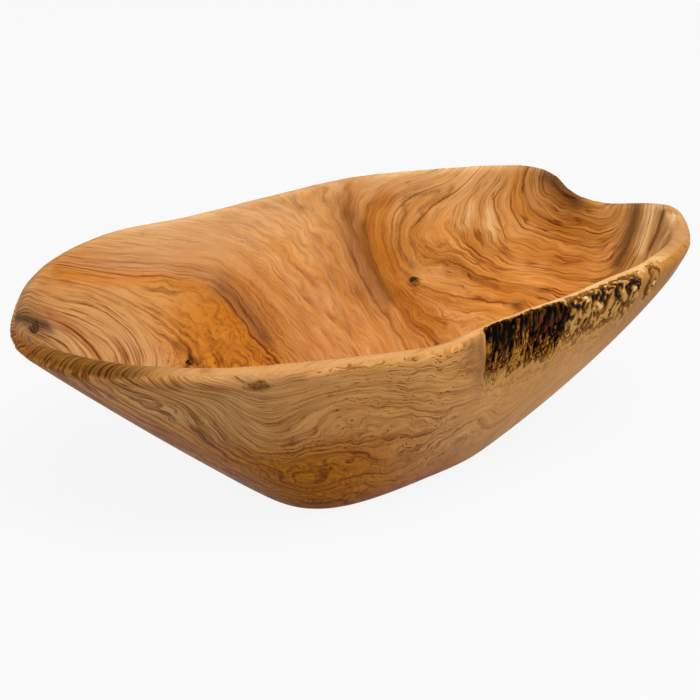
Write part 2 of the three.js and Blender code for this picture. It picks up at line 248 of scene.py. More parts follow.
# Tints that the figure multiplies the wood's tone by
TINTS = {
    "faded": (0.94, 0.84, 0.66, 1),
    # Peach and golden flames along the grain: partly the wood's own tone, partly a painted sheen
    "peach flame and bright sheen": (1.08, 1.13, 1.3, 1),
    "golden flame and dim sheen": (0.88, 0.74, 0.42, 1),
    "pale streak": (1.2, 1.25, 1.28, 1),
    "dark streak": (0.38, 0.24, 0.1, 1),
    "growth layer": (0.26, 0.15, 0.06, 1),
}

# Streaks of the wood: spots per metre along the grain, spots per unit of level across it, detail, roughness
STREAKS = {
    "band": (16, 0.15, 2, 0.6),
    "vein": (22, 0.14, 2, 0.6),
    "fine": (32, 0.9, 2, 0.6),
    "hair": (65, 1.9, 1, 0.5),
    "flame": (60, 0.2, 1, 0.5),
    "flick": (130, 0.55, 1, 0.5),
    "dash": (330, 1.2, 1, 0.5),
    # The gild streaks place the peach and golden flames, which are partly painted sheen
    "gild_and_sheen": (34, 0.24, 2, 0.6),
}

# Tones of the bark, and of the stain that it leaves on the wood
BARK_TONES = {
    "drip": (172, 116, 66),
    "upright fibre": (150, 100, 54),
    "halo": (204, 150, 76),
    "halo edge": (140, 90, 40),
    "bast": (126, 76, 20),
    "bast ridge": (202, 142, 56),
    "bast edge": (84, 48, 16),
    "bark edge": (58, 34, 14),
    "black bark": (11, 6, 3),
    "black ridge": (104, 58, 18),
    "brown bark": (50, 27, 8),
    "brown ridge": (168, 100, 28),
    "golden bark": (98, 56, 14),
    "golden ridge": (198, 138, 50),
    "crust gap": (18, 11, 5),
    "crust": (66, 38, 10),
    "crust ridge": (192, 134, 48),
    # Pale flakes of the crust, which also stand in for painted glints of light
    "pale flake and glint": (232, 202, 142),
    "leaf": (138, 86, 24),
    "leaf ridge": (206, 156, 84),
    "leaf edge": (92, 54, 16),
    "fleck": (172, 118, 54),
    "fleck ridge": (206, 156, 90),
    "fleck edge": (146, 96, 36),
    "fleck ring": (110, 66, 22),
    "fleck slit": (230, 200, 142),
}

# Places of the tones, in the photograph's frame
INSIDE_TONES = {
    "amber": (
        (200, 335), (212, 300), (190, 310), (215, 345), (240, 335), (205, 320), (230, 300), (178, 290),
        (52, 272), (110, 280), (385, 240), (378, 210), (420, 190), (396, 280), (430, 322), (255, 348),
        (228, 312), (268, 360)),
    "honey": ((150, 285), (170, 320), (410, 210), (600, 225), (225, 356), (80, 280)),
    "fawn": (
        (60, 300), (90, 290), (100, 310), (125, 340), (80, 320), (150, 310), (110, 345), (135, 350),
        (60, 344), (40, 292), (155, 345), (42, 334)),
    "beige": (
        (120, 250), (160, 240), (200, 228), (230, 222), (180, 252), (140, 260), (260, 212), (300, 200),
        (360, 186)),
    "pale": ((400, 178), (430, 178), (470, 176), (500, 175), (415, 181)),
    "peach": (
        (450, 312), (448, 324), (480, 320), (432, 272), (450, 245), (470, 210), (500, 250), (530, 250),
        (490, 225), (300, 240), (330, 230), (420, 296), (520, 240), (560, 280)),
    "rose": (
        (260, 240), (280, 280), (300, 320), (320, 260), (340, 330), (380, 330), (350, 290), (400, 342),
        (410, 336), (310, 350), (220, 245)),
    "mauve": ((100, 262), (190, 270), (240, 296), (255, 318), (355, 240), (366, 270), (310, 336)),
    "orange": (
        (515, 205), (498, 198), (470, 270), (500, 280), (480, 240), (440, 225), (430, 212), (580, 265),
        (600, 255), (510, 300), (540, 285)),
    "brown": (
        (365, 236), (372, 258), (520, 206), (545, 196), (566, 212), (590, 238), (626, 240), (630, 220),
        (662, 228)),
    "umber": ((562, 186), (30, 318)),
    "cream": ((648, 228), (643, 246), (653, 214)),
}
OUTSIDE_TONES = {
    # Dusk: the first four places are dark bands of the wood; the last two paint shade on the lower front
    # wall
    "dusk and painted shade": ((60, 375), (100, 400), (150, 425), (190, 445), (420, 480), (380, 490)),
    "straw": (
        (77, 376), (360, 380), (400, 400), (450, 400), (500, 420), (560, 370), (620, 310), (440, 440)),
    "rose": ((300, 425), (330, 410), (400, 440), (140, 400)),
    "burl": ((290, 478), (320, 478), (305, 495), (345, 470), (260, 470), (310, 508)),
    "bisque": ((685, 232),),
    "ochre": ((672, 252), (665, 264), (655, 282), (635, 305), (645, 294), (628, 312), (640, 308)),
    "tan": ((150, 402), (230, 400), (300, 395), (270, 440), (210, 425)),
    "peach": ((600, 335), (460, 365), (495, 405), (575, 353), (148, 403)),
    "brown": ((346, 470),),
}
RIM_TONES = {
    "gilt": ((20, 340), (60, 358), (100, 368), (130, 372)),
    "crest": ((170, 375), (230, 374), (300, 369), (360, 362), (430, 350), (480, 330)),
    "cream": ((510, 318), (535, 308), (560, 299), (585, 289), (610, 278)),
    "bisque": ((640, 262), (665, 240), (680, 225)),
}

# Strokes of stain, and a few of painted shade: tone, strength, half width in millimetres, and the line in
# the photograph's frame
INSIDE_STROKES = {
    "shade above the seam": ("mauve", 0.7, 4, (
        (70, 262), (110, 266), (150, 264), (190, 272), (216, 282))),
    "shade right of the amber": ("bruise", 0.75, 4.5, ((222, 290), (238, 304), (250, 320), (262, 338))),
    "gold under the seam": ("amber", 0.6, 3, (
        (60, 272), (110, 279), (150, 279), (185, 284), (206, 290))),
    "gold beside the shade": ("amber", 0.6, 3.5, ((222, 306), (238, 326), (254, 346), (266, 359))),
    "bend, shade": ("bruise", 0.55, 4.5, ((350, 218), (355, 238), (362, 258), (372, 278), (384, 296))),
    "bend, edge": ("umber", 0.55, 2, ((364, 224), (367, 242), (373, 262), (381, 282), (390, 298))),
    "bend, gold": ("amber", 0.6, 4, (
        (384, 200), (374, 216), (376, 236), (382, 258), (390, 276), (402, 296), (416, 312), (430, 328))),
    "swirl, wavy line": ("bruise", 0.7, 0.9, (
        (438, 191), (422, 194), (406, 197), (403, 205), (406, 213), (399, 227), (399, 240), (400, 250),
        (406, 258), (413, 266))),
    "swirl, inner line": ("brown", 0.75, 0.9, (
        (452, 188), (447, 196), (435, 202), (421, 210), (423, 217), (412, 227), (410, 236), (413, 247),
        (418, 257), (429, 264), (441, 261), (454, 260), (463, 266), (469, 275), (480, 283), (496, 287))),
    "swirl, knot": ("brown", 0.6, 1.6, ((431, 252), (436, 255))),
    "swirl, pale rays": ("pale", 0.5, 2.2, ((468, 206), (466, 216), (464, 226))),
    "swirl, pale ray": ("pale", 0.5, 1.8, ((490, 211), (489, 222), (491, 232))),
    "left red streak": ("russet", 0.7, 2.0, ((50, 316), (69, 328), (81, 336), (90, 347), (99, 358))),
    "left red streak, upper": ("russet", 0.4, 2, ((36, 308), (56, 314), (74, 322), (92, 334))),
    "rim knot, smoke": ("soot", 0.85, 3.2, ((20, 318), (28, 320), (37, 323), (47, 326))),
    "dark shoulder": ("umber", 0.85, 4, ((548, 176), (558, 184), (568, 192), (576, 200))),
    "right stripe, brown": ("umber", 0.85, 3, ((637, 206), (633, 226), (626, 246), (618, 264))),
    "right stripe, cream": ("pale", 1.0, 2.5, ((651, 208), (649, 228), (643, 250))),
    "right stripe, last": ("umber", 0.75, 1.8, ((663, 212), (658, 232), (650, 248))),
    "right stripe, end": ("pale", 0.8, 2.2, ((672, 216), (668, 232), (660, 246))),
    "pale patch": ("peach", 0.8, 4, ((428, 272), (438, 270))),
    "pocket tail": ("umber", 0.6, 1.4, ((178, 344), (186, 352), (192, 360))),
    "pocket lobe": ("umber", 0.9, 1.4, ((192, 359), (197, 363))),
    "small spot": ("umber", 0.7, 1.8, ((516, 306), (519, 308))),
}
OUTSIDE_STROKES = {
    "left dark streak": ("brown", 0.45, 3, (
        (112, 384), (142, 402), (179, 419), (214, 447), (230, 458))),
    "left light streak": ("cream", 0.65, 4, ((136, 394), (148, 402), (170, 412), (190, 422))),
    "left lower streak": ("brown", 0.5, 4, ((70, 384), (110, 408), (150, 430), (190, 450))),
    "bark, left shadow": ("bruise", 0.55, 4, ((472, 344), (472, 356), (476, 368), (484, 378))),
    "bark, left edge": ("umber", 0.6, 1.6, ((482, 334), (481, 346), (482, 358), (485, 370))),
    "burl": ("burl", 0.7, 8, ((255, 466), (290, 474), (335, 470), (356, 468))),
    "burl, lower": ("burl", 0.7, 8, ((280, 492), (310, 500), (350, 486))),
    "burl, shade": ("brown", 0.6, 5, ((290, 505), (320, 507), (360, 500), (400, 488))),
    # Painted shade: a darker line along the lower edge of the rim band, where it turns under to the outside
    # wall
    "painted shade under the rim, left": ("bruise", 0.5, 2, ((128, 381), (150, 384), (175, 386))),
    "painted shade under the rim, front": ("bruise", 0.4, 2, (
        (175, 385), (210, 385), (240, 383), (270, 381), (300, 378))),
}
RIM_STROKES = {
    "rim, darkest": ("umber", 0.5, 3, ((96, 370), (118, 374), (136, 376))),
    "rim, left tip": ("bruise", 0.6, 4, ((13, 322), (16, 338), (26, 350))),
    "rim, spot": ("russet", 0.6, 1.5, ((204, 371), (208, 371))),
}

# Where the rim shows as a band of its own, striped or plain, and where the inside runs on over it
RIM_BAND = {
    "striped": ((26, 351), (45, 360), (70, 368), (100, 372), (125, 375)),
    "shown": (
        (160, 377), (180, 378), (200, 377), (230, 377), (260, 376), (290, 373), (320, 370), (350, 366),
        (380, 362), (410, 357), (440, 350), (462, 342), (480, 335), (500, 326), (520, 316), (540, 310),
        (560, 303), (580, 296), (600, 287), (620, 278), (640, 266), (665, 248), (684, 240)),
    "hidden": ((14, 312), (14, 324), (18, 336), (674, 214), (664, 210)),
}
RIM_BAND_REACH = 10
RIM_CALM = 0.7
LAYER_RADIUS = 120

# Rim and outside, told apart by the surface's lean in degrees and the depth under the rim in millimetres
RIM_INNER_LEAN = (-40, -20)
CREST_LEAN = 34
STRIPED_LEAN = 72
CREST_BLEND = 6
RIM_BAND_DEPTH = (15, 10)
OUTSIDE_LEAN = 30
UNDERSIDE_SLOPE = -0.3

# Habits of the figure: how combed, banded, rippled, curled and dashed the wood is
HABITS = {
    "combed": (1.0, 0.1, 0.0, 0.0, 0.0),
    "banded": (0.3, 1.0, 0.1, 0.0, 0.0),
    "rippled": (0.1, 0.05, 1.0, 0.0, 0.1),
    "curled": (0.6, 0.2, 0.1, 1.0, 0.0),
    "dashed": (0.8, 0.0, 0.35, 0.0, 1.3),
    "raked": (1.5, 0.1, 0.0, 0.0, 0.3),
    "bold": (0.7, 1.5, 0.0, 0.0, 0.0),
    "burled": (0.7, 0.1, 0.1, 1.1, 0.2),
    "calm": (0.4, 0.0, 0.12, 0.0, 0.1),
    "plain": (0.0, 0.0, 0.15, 0.0, 0.2),
}
HABIT_REACH = 18
INSIDE_HABITS = {
    "combed": (
        (60, 290), (100, 310), (125, 345), (40, 300), (80, 280), (150, 320), (60, 340), (160, 340),
        (240, 312), (252, 332), (264, 352), (232, 302)),
    "banded": (
        (390, 230), (400, 200), (440, 310), (480, 300), (520, 260), (500, 230), (530, 200), (570, 240),
        (600, 240), (560, 275), (450, 230), (430, 240), (480, 190), (640, 230), (420, 300)),
    "rippled": (
        (260, 240), (300, 290), (340, 320), (380, 330), (300, 230), (330, 270), (290, 330), (350, 200),
        (250, 270)),
    "curled": ((226, 330), (218, 318), (235, 345), (218, 360), (205, 345), (425, 262)),
    "calm": (
        (185, 295), (215, 225), (240, 215), (180, 315), (120, 255), (180, 245), (150, 240), (80, 262),
        (200, 255)),
    "plain": (
        (648, 222), (645, 240), (652, 212), (110, 264), (150, 262), (190, 270), (390, 182), (430, 178),
        (470, 175)),
    "bold": ((590, 225), (612, 236), (600, 250), (580, 206), (622, 222)),
}
OUTSIDE_HABITS = {
    "raked": ((90, 390), (150, 410), (200, 440), (250, 440), (230, 410), (120, 400), (180, 400)),
    "dashed": ((340, 375), (400, 390), (360, 430), (450, 400), (480, 380), (440, 440), (390, 455)),
    "burled": ((290, 478), (330, 475), (305, 495), (350, 465), (265, 468)),
    "calm": ((290, 425), (300, 385)),
    "plain": ((680, 240), (500, 420), (560, 370), (620, 310), (530, 395), (590, 345), (650, 285)),
}


def add_camera():
    data = bpy.data.cameras.new("camera")
    data.lens = CAMERA_LENS
    data.sensor_width = CAMERA_SENSOR
    camera = bpy.data.objects.new("camera", data)
    bpy.context.scene.collection.objects.link(camera)
    camera.location = CAMERA_TARGET + CAMERA_DISTANCE * camera_back()
    camera.rotation_euler = camera_back().to_track_quat("Z", "Y").to_euler()
    bpy.context.scene.camera = camera


def camera_back():
    """Direction from the camera's target back to the camera."""
    level = math.cos(CAMERA_ELEVATION)
    across = math.sin(CAMERA_AZIMUTH) * level
    along = -math.cos(CAMERA_AZIMUTH) * level
    return Vector((across, along, math.sin(CAMERA_ELEVATION)))


def sight(pixel):
    """Direction from the camera through a pixel of the photograph."""
    back = camera_back()
    right = Vector((math.cos(CAMERA_AZIMUTH), math.sin(CAMERA_AZIMUTH), 0))
    up = back.cross(right)
    focal = CAMERA_LENS / CAMERA_SENSOR * PHOTO_SIZE
    across = (float(pixel[0]) - PHOTO_SIZE / 2) / focal
    down = (float(pixel[1]) - PHOTO_SIZE / 2) / focal
    return (across * right - down * up - back).normalized()


def look_at(tree, pixel):
    """Point of a surface that a pixel of the photograph shows, in millimetres, or None."""
    start = CAMERA_TARGET + CAMERA_DISTANCE * camera_back()
    hit = tree.ray_cast(start, sight(pixel))[0]
    return None if hit is None else np.array(hit) / MM


def copy_node(node, name):
    """Copy of a CAD node with its loose triangles merged."""
    bpy.ops.object.select_all(action="DESELECT")
    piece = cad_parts[node].copy()
    piece.data = piece.data.copy()
    piece.name = name
    piece.parent = None
    piece.data.materials.clear()
    for key in list(piece.keys()):
        del piece[key]
    bpy.context.scene.collection.objects.link(piece)
    make_active(piece)
    bpy.ops.object.mode_set(mode="EDIT")
    bpy.ops.mesh.select_all(action="SELECT")
    bpy.ops.mesh.remove_doubles(threshold=MERGE_DISTANCE)
    bpy.ops.object.mode_set(mode="OBJECT")
    return piece


def make_active(piece):
    bpy.ops.object.select_all(action="DESELECT")
    piece.select_set(True)
    bpy.context.view_layer.objects.active = piece


def apply_modifier(piece, kind, **settings):
    make_active(piece)
    modifier = piece.modifiers.new(kind.lower(), kind)
    for name, value in settings.items():
        setattr(modifier, name, value)
    bpy.ops.object.modifier_apply(modifier=modifier.name)


def finish_piece(piece, node, material):
    make_active(piece)
    bpy.ops.object.shade_smooth()
    piece.data.materials.append(material)
    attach(piece, "root")
    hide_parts(node)


def places_of(piece):
    """Vertex places of a piece, in millimetres."""
    flat = np.empty(len(piece.data.vertices) * 3)
    piece.data.vertices.foreach_get("co", flat)
    return flat.reshape(-1, 3) / MM


def move_to(piece, places):
    piece.data.vertices.foreach_set("co", (places * MM).ravel())
    piece.data.update()


def normals_of(piece):
    flat = np.empty(len(piece.data.vertices) * 3)
    piece.data.vertex_normals.foreach_get("vector", flat)
    return flat.reshape(-1, 3)


def ease(values, low, high):
    """0 below low and 1 above high, with a smooth step between them. low may be the larger."""
    share = np.clip((values - low) / (high - low), 0, 1)
    return share * share * (3 - 2 * share)


def give_numbers(piece, name, numbers):
    attribute = piece.data.attributes.new(name, "FLOAT", "POINT")
    attribute.data.foreach_set("value", np.asarray(numbers, np.float32))


def give_colours(piece, name, colours):
    attribute = piece.data.attributes.new(name, "FLOAT_COLOR", "POINT")
    channels = np.ones((len(colours), 4), np.float32)
    channels[:, :colours.shape[1]] = colours
    attribute.data.foreach_set("color", channels.ravel())


def linear(colour):
    """Linear value of a colour given in steps of 255."""
    share = np.asarray(colour, float) / 255
    return np.where(share <= 0.04045, share / 12.92, ((share + 0.055) / 1.055) ** 2.4)


def broad_axes(places):
    """Places about their middle, and the two directions in which they spread the most."""
    away = places - places.mean(0)
    return away, np.linalg.svd(away, full_matrices=False)[2][:2]


def rim_crest(places):
    """Height of the rim on the side of each place, from the highest point near its direction."""
    bearing = np.arctan2(places[:, 1], places[:, 0])
    sector = ((bearing + np.pi) / (2 * np.pi) * RIM_SECTORS).astype(int) % RIM_SECTORS
    highest = np.zeros(RIM_SECTORS)
    np.maximum.at(highest, sector, places[:, 2])
    return highest[sector]


def carve_bowl():
    """Carved body: the CAD solid with its facets worked smooth, and its knot holes closed by the knots."""
    bowl = copy_node("bowl_body", "bowl")
    plugs = [copy_node(knot, knot + "_plug") for knot in KNOT_NODES]
    for plug in plugs:
        places = places_of(plug)
        away, broad = broad_axes(places)
        move_to(plug, places + away @ broad.T @ broad * (PLUG_SCALE - 1))
    make_active(bowl)
    for plug in plugs:
        plug.select_set(True)
    bpy.ops.object.join()
    apply_modifier(bowl, "REMESH", mode="VOXEL", voxel_size=BOWL_VOXEL)
    places = places_of(bowl)
    depth = rim_crest(places) - places[:, 2]
    near_rim = ease(depth, RIM_DEPTH + RIM_DEPTH_BLEND, RIM_DEPTH - RIM_DEPTH_BLEND)
    calm = 1 - (1 - RIM_SMOOTHING) * near_rim
    group = bowl.vertex_groups.new(name="calm")
    for index, weight in enumerate(calm):
        group.add([index], weight, "REPLACE")
    apply_modifier(bowl, "SMOOTH", factor=0.5, iterations=WALL_SMOOTHING, vertex_group="calm")
    bowl.vertex_groups.clear()
    return bowl


def ring_level(places):
    """Distance from the pith of the trunk."""
    direction = TRUNK_DIRECTION / np.linalg.norm(TRUNK_DIRECTION)
    away = places - PITH_POINT
    return np.linalg.norm(away - np.outer(away @ direction, direction), axis=1)


def points_along(line, step):
    """Points on a drawn line at an even step, in the photograph's frame."""
    points = []
    for start, end in zip(line, line[1:]):
        start, end = np.array(start, float), np.array(end, float)
        steps = max(1, round(np.linalg.norm(end - start) / step))
        points.extend(start + (end - start) * index / steps for index in range(steps))
    return points + [np.array(line[-1], float)]


def nearness(places, anchors, reach):
    """1 where a place meets an anchor, less the further it is away."""
    squares = (places**2).sum(1)[:, None] + (anchors**2).sum(1)[None] - 2 * places @ anchors.T
    share = np.sqrt(3 * np.maximum(squares, 0)) / reach
    return (1 + share) * np.exp(-share)


def figure_level(tree, lines, places):
    """Level of the figure at each place: the trunk's rings, bent to run along the drawn lines."""
    anchors, levels = [], []
    for level, _, _, line in lines.values():
        for pixel in points_along(line, FIGURE_STEP):
            point = look_at(tree, pixel)
            if point is not None:
                anchors.append(point)
                levels.append(level)
    anchors, levels = np.array(anchors), np.array(levels, float)
    rings = ring_level(anchors)
    shift = np.mean(rings - levels)
    firmness = nearness(anchors, anchors, FIGURE_REACH) + FIGURE_SLACK * np.eye(len(anchors))
    weights = np.linalg.solve(firmness, levels + shift - rings)
    level = ring_level(places) - shift
    for first in range(0, len(places), PLACES_AT_A_TIME):
        part = slice(first, first + PLACES_AT_A_TIME)
        level[part] += nearness(places[part], anchors, FIGURE_REACH) @ weights
    return level


def blend(tree, anchors, values, usual, reach, places):
    """Values at each place, blended from the values that are anchored near it."""
    total = np.full(len(places), USUAL_WEIGHT)
    blended = np.outer(total, values[usual])
    for name, pixels in anchors.items():
        for pixel in pixels:
            point = look_at(tree, pixel)
            if point is None:
                continue
            distance = np.linalg.norm(places - point, axis=1)
            weight = np.exp(-((distance / reach) ** 2) / 2)
            total += weight
            blended += np.outer(weight, values[name])
    return blended / total[:, None]


def stain(tree, strokes, tones, places, colour):
    """Colour of each place with the strokes of stain and painted shade laid over it."""
    for tone, strength, width, line in strokes.values():
        points = [look_at(tree, pixel) for pixel in points_along(line, STROKE_STEP)]
        points = np.array([point for point in points if point is not None])
        near = np.min([np.linalg.norm(places - point, axis=1) for point in points], axis=0)
        share = strength * np.exp(-((near / width) ** 2) / 2)
        colour = colour + (tones[tone] - colour) * share[:, None]
    return colour


def distance_to(nodes, places):
    """Distance of each place from the nearest point of some CAD nodes, stretched along the rim."""
    points = np.concatenate([places_of(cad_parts[node]) for node in nodes]) * BAST_STRETCH
    tree = KDTree(len(points))
    for index, point in enumerate(points):
        tree.insert(point, index)
    tree.balance()
    return np.array([tree.find(place)[2] for place in places * BAST_STRETCH])


def lean_of(places, normals):
    """Lean of the surface in degrees: 0 where it faces up, 90 where it faces away from the middle."""
    outwards = places[:, :2] / (BOWL_HALF_LENGTH**2, BOWL_HALF_WIDTH**2)
    outwards /= np.maximum(np.linalg.norm(outwards, axis=1), 1e-9)[:, None]
    return np.degrees(np.arctan2((normals[:, :2] * outwards).sum(1), normals[:, 2]))


def rim_band(tree, places, lean):
    """How much each place belongs to the rim's own band, and how striped the band is there."""
    bands = {"striped": np.array((1, 1)), "shown": np.array((1, 0)), "hidden": np.array((0, 0))}
    shown, striped = blend(tree, RIM_BAND, bands, "hidden", RIM_BAND_REACH, places).T
    edge = CREST_LEAN + (STRIPED_LEAN - CREST_LEAN) * striped
    rim = ease(lean, *RIM_INNER_LEAN) * ease(lean, edge + CREST_BLEND, edge - CREST_BLEND)
    return rim * ease(rim_crest(places) - places[:, 2], *RIM_BAND_DEPTH) * shown, striped


def figure_of(tree, places, outside):
    """Level of the figure at each place, inside and outside."""
    inner = figure_level(tree, INSIDE_LINES, places)
    outer = figure_level(tree, OUTSIDE_LINES, places) + OUTSIDE_LEVEL
    return np.where(outside, outer, inner)


def tone_of(tree, places, outside, rim):
    """Tone of the wood at each place, with painted shade low on the front, and its strokes of stain and
    painted shade.
    """
    tones = {name: linear(colour) for name, colour in TONES.items()}
    inner = blend(tree, INSIDE_TONES, tones, "honey", TONE_REACH, places)
    inner = stain(tree, INSIDE_STROKES, tones, places, inner)
    outer = blend(tree, OUTSIDE_TONES, tones, "straw", TONE_REACH, places)
    outer = stain(tree, OUTSIDE_STROKES, tones, places, outer)
    edge = blend(tree, RIM_TONES, tones, "tan", TONE_REACH, places)
    edge = stain(tree, RIM_STROKES, tones, places, edge)
    tone = np.where(outside[:, None], outer, inner)
    return tone + (edge - tone) * rim[:, None]


def habit_of(tree, places, outside, rim):
    """Habits of the figure at each place, calmer on the rim."""
    habits = {name: np.array(habit) for name, habit in HABITS.items()}
    inner = blend(tree, INSIDE_HABITS, habits, "combed", HABIT_REACH, places)
    outer = blend(tree, OUTSIDE_HABITS, habits, "raked", HABIT_REACH, places)
    return np.where(outside[:, None], outer, inner) * (1 - RIM_CALM * rim[:, None])


def grain_bowl(bowl):
    """What the wood's finish reads on the bowl: figure, rim, tone, habit and nearness of the bark."""
    places, normals = places_of(bowl), normals_of(bowl)
    tree = BVHTree.FromObject(bowl, bpy.context.evaluated_depsgraph_get())
    lean = lean_of(places, normals)
    outside = (lean > OUTSIDE_LEAN) | (normals[:, 2] < UNDERSIDE_SLOPE)
    rim, striped = rim_band(tree, places, lean)
    habit = habit_of(tree, places, outside, rim)
    from_bark = distance_to(BARK_NODES, places)
    give_numbers(bowl, "figure", figure_of(tree, places, outside))
    give_numbers(bowl, "rim", rim)
    give_numbers(bowl, "round", np.arctan2(places[:, 1], -places[:, 0]) * LAYER_RADIUS)
    give_numbers(bowl, "stripes", rim * striped)
    give_colours(bowl, "tone", tone_of(tree, places, outside, rim))
    give_colours(bowl, "habit", habit[:, :4])
    give_numbers(bowl, "dashes", habit[:, 4])
    give_numbers(bowl, "bast", np.where(lean > BAST_LEAN, from_bark, FAR_FROM_BARK))


def drop_of(places):
    """How far down a bark plate each place is: 0 at its top edge, 1 at its foot."""
    column = (places[:, 0] / BARK_COLUMN).astype(int)
    column -= column.min()
    top = np.full(column.max() + 1, -np.inf)
    foot = np.full(column.max() + 1, np.inf)
    np.maximum.at(top, column, places[:, 2])
    np.minimum.at(foot, column, places[:, 2])
    return (top[column] - places[:, 2]) / np.maximum(top - foot, 1)[column]


def fibre_relief(x, y, z):
    """Height of the fibres of a bark plate at a place."""
    return sum(
        strength * noise.noise(Vector((x * across, y * across, z * along)))
        for strength, across, along in BARK_FIBRES
    )


def grow_bark(node):
    """Bark plate with ridged fibres down its face."""
    piece = copy_node(node, node + "_fibres")
    apply_modifier(piece, "REMESH", mode="VOXEL", voxel_size=BARK_VOXEL)
    places, normals = places_of(piece), normals_of(piece)
    drop = drop_of(places)
    relief = np.array([fibre_relief(*place) for place in places])
    rags = [noise.noise(Vector((x * RAG_SCALE, y * RAG_SCALE, RAG_SLICE))) for x, y, _ in places]
    moved = places + normals * (relief * BARK_ROUGHNESS)[:, None]
    moved[:, 2] += np.array(rags) * RAG_HEIGHT * ease(drop, RAG_SHARE, 0)
    move_to(piece, moved)
    give_numbers(piece, "relief", relief)
    give_numbers(piece, "drop", drop)
    return piece


def grow_crust(node, roughness):
    """Thin bark that is broken into crooked flakes at its top, and hangs down in leaves at its foot."""
    piece = copy_node(node, node + "_scales")
    apply_modifier(piece, "REMESH", mode="VOXEL", voxel_size=BARK_VOXEL)
    places, normals = places_of(piece), normals_of(piece)
    drop = drop_of(places)
    relief = np.empty(len(places))
    for index, (x, y, _) in enumerate(places):
        fall = CRUST_HEIGHT * drop[index] * (1 - CRUST_DRAW * drop[index])
        spot = Vector((x, y, fall))
        drift = Vector([noise.noise(spot * CRUST_BEND_SCALE + start) for start in CRUST_BEND_STARTS])
        spot += drift * CRUST_BEND * (1 - CRUST_CALM * drop[index])
        relief[index] = sum(strength * noise.noise(spot * scale) for strength, scale in CRUST_FLAKES)
    rise = (ease(relief, -CRUST_STEP, CRUST_STEP) - 0.5) * roughness
    move_to(piece, places + normals * rise[:, None])
    give_numbers(piece, "relief", relief)
    give_numbers(piece, "drop", drop)
    give_numbers(piece, "heart", heart_of(places))
    return piece


def heart_of(places):
    """How far out from the middle of a flat piece each place is: 0 there, 1 at its edge."""
    away, broad = broad_axes(places)
    across = away @ broad.T
    return np.linalg.norm(across / np.abs(across).max(0), axis=1)


def grow_knot(node):
    """Knot, a little proud of the wood round it."""
    piece = copy_node(node, node + "_grain")
    apply_modifier(piece, "REMESH", mode="VOXEL", voxel_size=KNOT_VOXEL)
    places, normals = places_of(piece), normals_of(piece)
    move_to(piece, places + normals * KNOT_RISE)
    give_numbers(piece, "heart", heart_of(places))
    return piece


class Strand:
    """One value in a finish, for sums written as plain expressions."""

    def __init__(self, finish, socket):
        self.finish = finish
        self.socket = socket

    def sum(self, operation, first, second):
        return self.finish.add("ShaderNodeMath", {"operation": operation}, {0: first, 1: second})

    def __add__(self, other):
        return self.sum("ADD", self, other)

    __radd__ = __add__

    def __sub__(self, other):
        return self.sum("SUBTRACT", self, other)

    def __rsub__(self, other):
        return self.sum("SUBTRACT", other, self)

    def __mul__(self, other):
        return self.sum("MULTIPLY", self, other)

    __rmul__ = __mul__

    def __abs__(self):
        return self.finish.add("ShaderNodeMath", {"operation": "ABSOLUTE"}, {0: self})

    def eased(self, low, high):
        """0 at low and 1 at high, with a smooth step between them."""
        return self.finish.add(
            "ShaderNodeMapRange",
            {"interpolation_type": "SMOOTHSTEP"},
            {"Value": self, "From Min": low, "From Max": high},
        )


class Finish:
    """A material and its nodes."""

    def __init__(self, name, **constants):
        self.material = bpy.data.materials.new(name)
        self.material.use_nodes = True
        self.tree = self.material.node_tree
        self.shader = self.tree.nodes["Principled BSDF"]
        for socket, value in constants.items():
            self.shader.inputs[socket.replace("_", " ")].default_value = value

    def add(self, kind, settings=None, inputs=None, outlet=0):
        """A node of a kind, with its settings and the values or links of its sockets."""
        node = self.tree.nodes.new(kind)
        for name, value in (settings or {}).items():
            setattr(node, name, value)
        for name, value in (inputs or {}).items():
            if isinstance(value, Strand):
                self.tree.links.new(value.socket, node.inputs[name])
            else:
                node.inputs[name].default_value = value
        return Strand(self, node.outputs[outlet])

    def read(self, attribute, outlet="Fac"):
        return self.add("ShaderNodeAttribute", {"attribute_name": attribute}, outlet=outlet)

    def place(self):
        return self.add("ShaderNodeTexCoord", outlet="Object")

    def mottle(self, place, scale, detail=2.0, roughness=0.5):
        """Even noise over the object, with scale in spots per metre."""
        return self.add("ShaderNodeTexNoise", None, {
            "Vector": place, "Scale": scale, "Detail": detail, "Roughness": roughness})

    def streak(self, place, level, along, across, detail, roughness):
        """Noise drawn out along the figure: along in spots per metre, across in spots per unit of level."""
        stretched = self.add("ShaderNodeVectorMath", {"operation": "SCALE"}, {0: place, "Scale": along})
        return self.add("ShaderNodeTexNoise", {"noise_dimensions": "4D"}, {
            "Vector": stretched, "W": level * across, "Scale": 1.0,
            "Detail": detail, "Roughness": roughness})

    def mix(self, share, first, second, blend_type="MIX"):
        """Colour between two colours, which have sockets 6 and 7 and outlet 2 on a Mix node."""
        settings = {"data_type": "RGBA", "blend_type": blend_type}
        return self.add("ShaderNodeMix", settings, {0: share, 6: first, 7: second}, 2)

    def tint(self, share, colour, tint):
        """Colour multiplied by a tint, by a share."""
        return self.mix(share, colour, tint, "MULTIPLY")

    def set(self, socket, strand):
        self.tree.links.new(strand.socket, self.shader.inputs[socket])

    def bump(self, height, strength, distance):
        self.set("Normal", self.add("ShaderNodeBump", None, {
            "Height": height, "Strength": strength, "Distance": distance}, "Normal"))


def rgba(colour):
    return (*linear(colour), 1)


def bark_tone(name):
    return rgba(BARK_TONES[name])


def drawn_lines(level):
    """How dark the drawn lines of the figure make a place of a level."""
    dark = 0.0
    for first, lines in ((0, INSIDE_LINES), (OUTSIDE_LEVEL, OUTSIDE_LINES)):
        for line, strength, width, _ in lines.values():
            if strength:
                dark = dark + (abs(level - (first + line))).eased(width * 1.4, width * 0.2) * strength
    return dark


